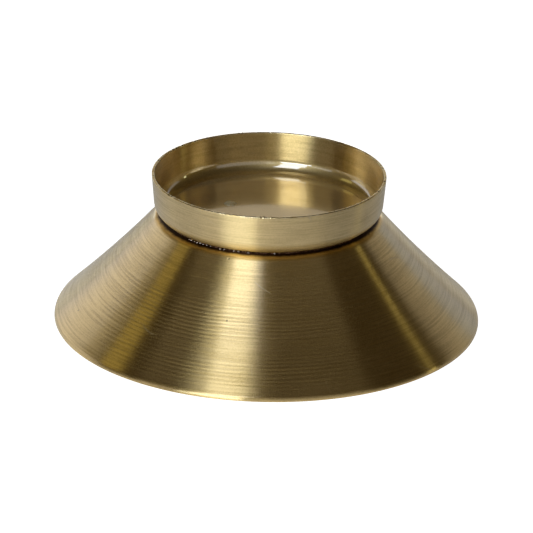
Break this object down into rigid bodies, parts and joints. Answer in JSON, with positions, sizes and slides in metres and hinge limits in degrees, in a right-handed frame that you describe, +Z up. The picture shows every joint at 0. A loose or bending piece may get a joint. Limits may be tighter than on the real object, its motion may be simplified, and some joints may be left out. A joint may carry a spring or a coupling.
{
  "type": "candle plate",
  "caption": "Brushed brass candle plate: a shallow flared cup for a pillar candle, soldered on a hollow conical base that stands on its turned-down edge.",
  "frame": {"origin": "on the axis, at the height of the surface that the base stands on", "axes": "+Z up along the axis; -Y towards the viewer of the picture, +X to the viewer's right; the part is round, so X and Y are otherwise free"},
  "size_m": [0.12, 0.12, 0.0428],
  "materials": {
    "base_brass": "brushed in rings, satin",
    "cup_brass": "brushed in rings outside, smoother and lacquered on the floor",
    "solder": "dull, flux-stained, with bright beads"
  },
  "bodies": {
    "root": {"base_cone": "base_brass", "candle_cup": "cup_brass", "solder_joint": "solder"}
  },
  "joints": []
}
